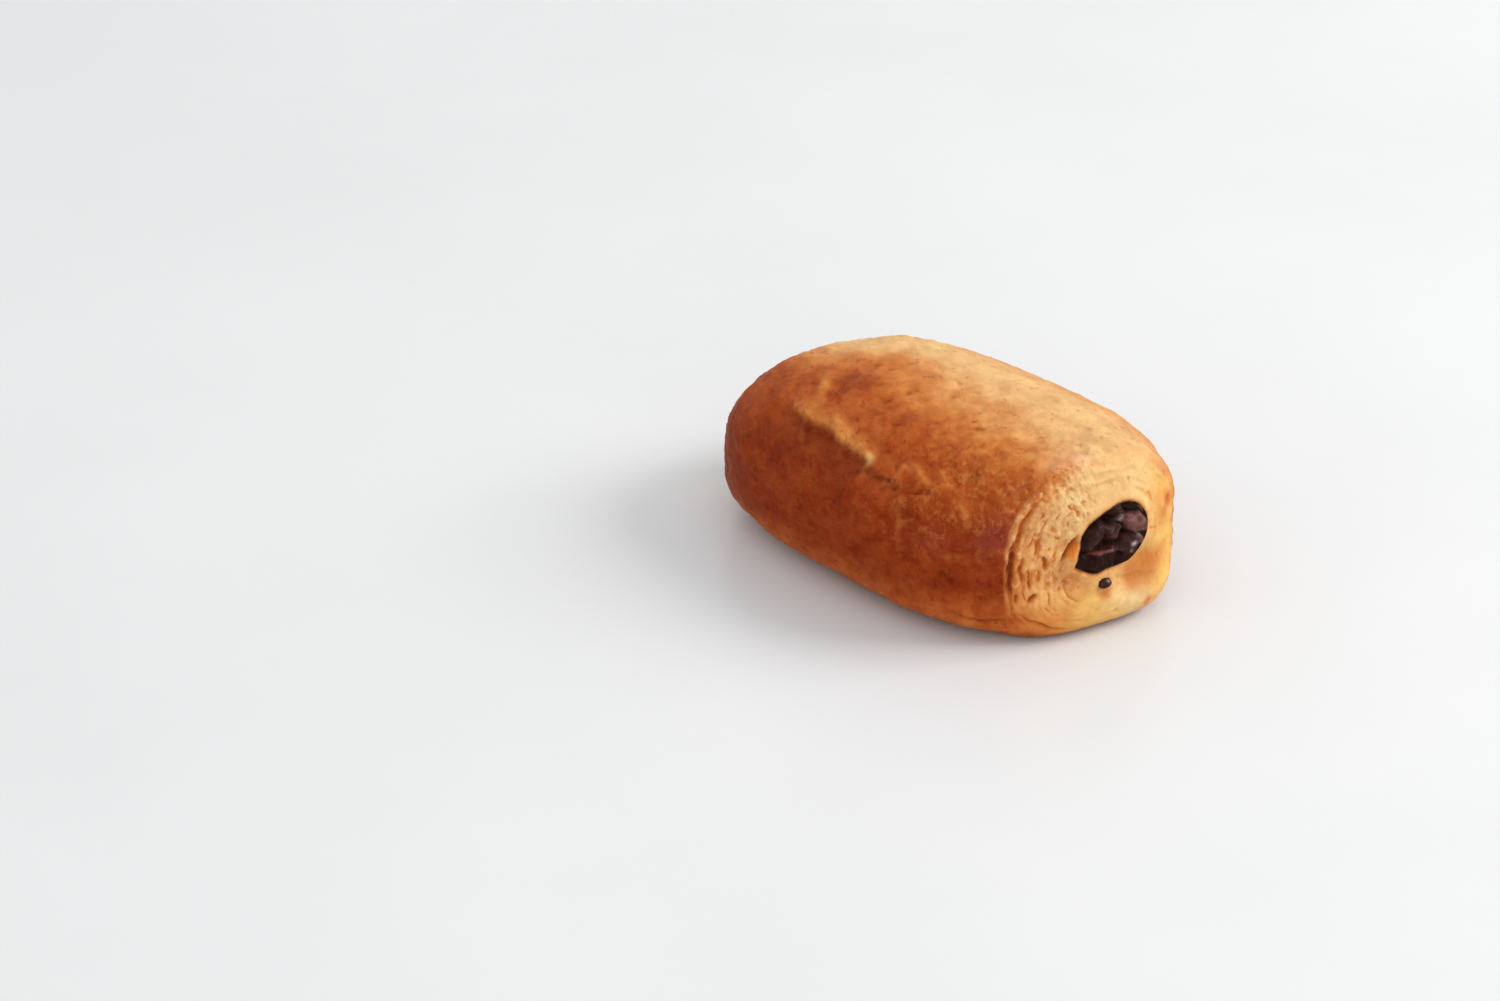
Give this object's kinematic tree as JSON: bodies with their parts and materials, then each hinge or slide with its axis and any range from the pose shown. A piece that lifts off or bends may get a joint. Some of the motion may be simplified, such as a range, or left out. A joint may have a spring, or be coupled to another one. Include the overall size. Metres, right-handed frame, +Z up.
{
  "type": "pain au chocolat",
  "caption": "Whole baked pain au chocolat: a barrel-shaped roll of layered dough with a band of dark chocolate that shows in both ends.",
  "frame": {"origin": "middle of the bounding box, on the flat base the roll rests on", "axes": "+X along the roll to the end that is seen, +Z up"},
  "size_m": [0.117, 0.0786, 0.0434],
  "materials": {
    "crust": "baked, egg-washed, soft sheen",
    "chocolate": "semi-gloss, lumpy"
  },
  "bodies": {
    "root": {"pastry": "crust", "chocolate": "chocolate", "chocolate_drop": "chocolate"}
  },
  "joints": []
}
